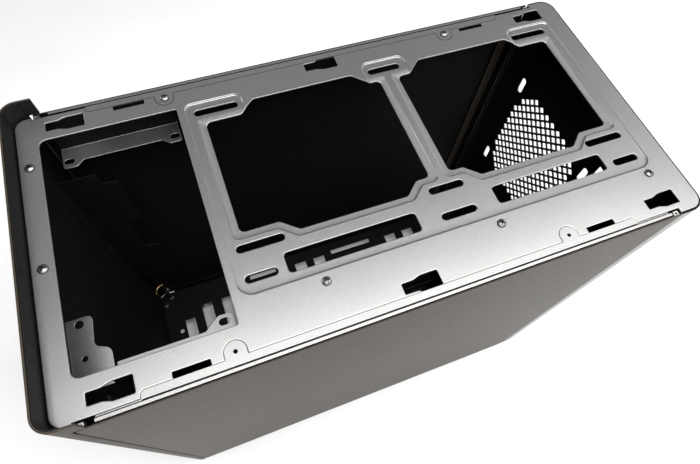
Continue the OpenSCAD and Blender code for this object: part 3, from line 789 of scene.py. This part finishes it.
def pan_head(centre, axis, shank):
    """A pan-head screw with a cross recess."""
    n, rows = 48, 16
    head_r, head_h = 2.85, 1.9
    verts, faces = [], []

    def dip(x, y):
        """Depth of the cross recess at a point of the head."""
        arms = max((1 - smooth(abs(a), 0.3, 0.55)) * (1 - smooth(abs(b), 1.3, 1.7))
                   for a, b in ((x, y), (y, x)))
        return arms * 1.5

    profile = [(shank[0], -shank[1]), (shank[0], 0), (head_r - 0.05, 0), (head_r, 0.1), (head_r, 0.75)]
    for k in range(1, rows + 1):
        a = radians(90) * k / rows
        r = head_r * (1 - k / rows) if k > 4 else head_r * (0.16 + 0.84 * cos(a))
        profile.append((max(r, 0.02), 0.75 + (head_h - 0.75) * (1 - (r / head_r) ** 2.4)))
    for row, (r, h) in enumerate(profile):
        for k in range(n):
            a = 2 * pi * k / n
            x, y = r * cos(a), r * sin(a)
            verts.append((x, y, h - (dip(x, y) if row > 4 else 0)))
    for j in range(len(profile) - 1):
        for k in range(n):
            a, b = j * n + k, j * n + (k + 1) % n
            faces.append((a, b, b + n, a + n))
    faces.append(tuple(range(n))[::-1])
    faces.append(tuple((len(profile) - 1) * n + k for k in range(n)))
    turn = {"Z": Matrix.Identity(3), "-Y": Matrix.Rotation(pi / 2, 3, "X")}[axis]
    spin = Matrix.Rotation(radians(17 + 31 * (centre[0] + centre[1]) % 90), 3, "Z")
    verts = [turn @ (spin @ Vector(v)) + Vector(centre) for v in verts]
    return finish_mesh("screw", verts, faces, 40)


screws = [pan_head((x, y, TOP), "Z", (1.5, 5)) for x, y in PLATE_SCREWS]
screws += [pan_head((-EAR_X, y, TOP), "Z", (1.5, 5)) for y in EAR_YS]
# Screw faces that don't face up, the head's rim and the cross recess walls, get the near-black
# interior_paint: painted shade for the dark outline and recess
dress(lined(joined("top_screws_turned", screws), lambda c, n: n.z < 0.45), "top_screws",
      inner="interior_paint")
dress(joined("slot_screws_turned",
             [pan_head((-45, REAR_Y - SHEET - 1.1, z), "-Y", (1.5, 2.2))
              for z in SLOT_ZS]), "slot_screws")

# ---------------------------------------------------------------- controls


def button(name, node, z, r, collar, stem):
    """A button with a dished face, its collar and stem."""
    face = [(0.02, 0.35), (r * 0.45, 0.3), (r * 0.75, 0.14), (r - 0.5, 0.02), (r - 0.25, 0.0),
            (r - 0.07, 0.08), (r, 0.3), (r, 2.0), (r + collar, 2.05), (r + collar, 2.75),
            (stem, 2.8), (stem, 8.0)]
    return dress(lathe(name, face, (CTL_X, FRONT_Y + 0.3, z), "Y", 48), node)


button("power_button_turned", "power_button", POWER_Z, 4.9, 1.4, 2.0)
button("reset_button_turned", "reset_button", RESET_Z, 2.3, 1.1, 1.2)

# ---------------------------------------------------------------- feet

for corner in ("front_left", "front_right", "rear_left", "rear_right"):
    low, high = (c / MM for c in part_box(corner + "_foot"))
    cx, cy = (low.x + high.x) / 2, (low.y + high.y) / 2
    r = (high.x - low.x) / 2
    foot = [(0.02, low.z), (r - 2.2, low.z), (r - 1.4, low.z + 0.1), (r - 0.8, low.z + 0.7),
            (r - 0.75, low.z + 4), (r - 1.3, low.z + 4.4), (r - 1.3, low.z + 5.4), (r - 0.6, low.z + 5.8),
            (r - 0.1, low.z + 12), (r, high.z - 1), (r - 0.2, high.z), (0.02, high.z)]
    dress(lathe(corner + "_foot_turned", foot, (cx, cy, 0), n=64), corner + "_foot")
    pad_r = (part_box(corner + "_pad")[1].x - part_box(corner + "_pad")[0].x) / MM / 2
    pad = [(0.02, 0.35), (pad_r - 4.5, 0.35), (pad_r - 4.1, 0.0), (pad_r - 0.5, 0.0),
           (pad_r, 0.5), (pad_r, low.z), (0.02, low.z)]
    dress(lathe(corner + "_pad_moulded", pad, (cx, cy, 0), n=64), corner + "_pad")


# ---------------------------------------------------------------- filter mesh


def woven_panel(low, high, pitch, wire):
    """A woven net of flat threads that fills a window, thread over thread."""
    verts, faces = [], []

    def thread(a, b, across, count, phase):
        """One thread from a to b that waves over and under the ones it crosses.

        phase is 0 or pi, so that neighbouring threads wave the other way.
        """
        base = len(verts)
        for k in range(count + 1):
            t = k / count
            p = Vector(a).lerp(Vector(b), t)
            lift = 0.14 * cos(pi * k + phase)
            for s, h in ((-1, 0), (0, 1), (1, 0), (0, -1)):
                verts.append(p + Vector(across) * (s * wire / 2) + Vector((0, 0, lift + h * wire / 2)))
        for k in range(count):
            for c in range(4):
                i, j = base + 4 * k + c, base + 4 * k + (c + 1) % 4
                faces.append((i, j, j + 4, i + 4))
        faces.append(tuple(base + c for c in range(4))[::-1])
        faces.append(tuple(base + 4 * count + c for c in range(4)))

    z = (low.z + high.z) / 2
    nx, ny = int((high.x - low.x) / pitch), int((high.y - low.y) / pitch)
    for i in range(1, nx):
        x = low.x + (high.x - low.x) * i / nx
        thread((x, low.y, z), (x, high.y, z), (1, 0, 0), ny, pi * (i % 2))
    for j in range(1, ny):
        y = low.y + (high.y - low.y) * j / ny
        thread((low.x, y, z), (high.x, y, z), (0, 1, 0), nx, pi * ((j + 1) % 2))
    return finish_mesh("net", verts, faces, 80)


low, high = (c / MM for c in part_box("bottom_filter_mesh"))
WINDOW_LEN, WINDOW_GAP = 67.0, 6.0
nets = [woven_panel(Vector((low.x, y, low.z)), Vector((high.x, y + WINDOW_LEN, high.z)), 2.0, 0.42)
        for y in (low.y, low.y + WINDOW_LEN + WINDOW_GAP)]
dress(joined("bottom_filter_net", nets), "bottom_filter_mesh")

# The nodes left as the CAD made them get their materials
for node_name in ("led_lens", "front_lead", "ssd_pins"):
    node = frame["nodes"][node_name]
    node.data.materials.clear()
    node.data.materials.append(MATERIALS[SLOT_OF[node_name]])

# ---------------------------------------------------------------- stage, light and camera

stage_mesh = bpy.data.meshes.new("floor")
stage_mesh.from_pydata([(-4, -4, 0), (4, -4, 0), (4, 4, 0), (-4, 4, 0)], [], [(0, 1, 2, 3)])
floor = bpy.data.objects.new("floor", stage_mesh)
bpy.context.collection.objects.link(floor)
pale = Nodes("pale_floor")
pale.link(pale.ramp(pale.noise(60, 3), [(0.3, grey(0.88)), (0.7, grey(0.92))]),
          pale.shader.inputs["Base Color"])
pale.set(Roughness=0.9)
stage_mesh.materials.append(pale.material)


def area_light(name, place, target, size, watts, tint=(1, 1, 1)):
    data = bpy.data.lights.new(name, "AREA")
    data.shape = "RECTANGLE"
    data.size, data.size_y = size
    data.energy = watts
    data.color = tint
    obj = bpy.data.objects.new(name, data)
    obj.location = place
    obj.rotation_euler = (Vector(target) - Vector(place)).to_track_quat("-Z", "Y").to_euler()
    bpy.context.collection.objects.link(obj)
    return obj


area_light("key_above", (0.45, 0.45, 1.6), (0.45, 0.45, 0), (1.3, 2.2), 51)
area_light("side_right", (2.4, 0.1, 1.0), (0.1, 0, 0.2), (1.2, 1.6), 4.5, (1, 0.95, 0.88))
area_light("front_left", (-1.6, -2.2, 1.0), (0, 0, 0), (1.2, 1.2), 12)
area_light("back", (-0.8, 2.6, 1.0), (-0.2, 0, 0), (1.4, 1.0), 12)

world = bpy.data.worlds.new("studio")
world.use_nodes = True
world.node_tree.nodes["Background"].inputs["Color"].default_value = (1, 1, 1, 1)
world.node_tree.nodes["Background"].inputs["Strength"].default_value = 0.22
bpy.context.scene.world = world
bpy.context.scene.view_settings.view_transform = "Standard"

# The photo's viewpoint. The camera was solved from the top panel's fan slots with an off-centre lens; this
# is the camera with a centred lens that shows the case in nearly the same place
CAMERA_PLACE = (0.16044, -0.08939, 0.62449)
camera_data = bpy.data.cameras.new("camera")
camera_data.lens = 25.42
camera_data.sensor_width = 36
camera_data.clip_start = 0.01
camera = bpy.data.objects.new("camera", camera_data)
right = Vector((0.35539, 0.93213, 0.06946))
up = Vector((-0.84799, 0.29026, 0.44347))
back = right.cross(up)
camera.matrix_world = Matrix.Translation(CAMERA_PLACE) @ Matrix(
    (right, up, back)).transposed().to_4x4()
bpy.context.collection.objects.link(camera)
bpy.context.scene.camera = camera
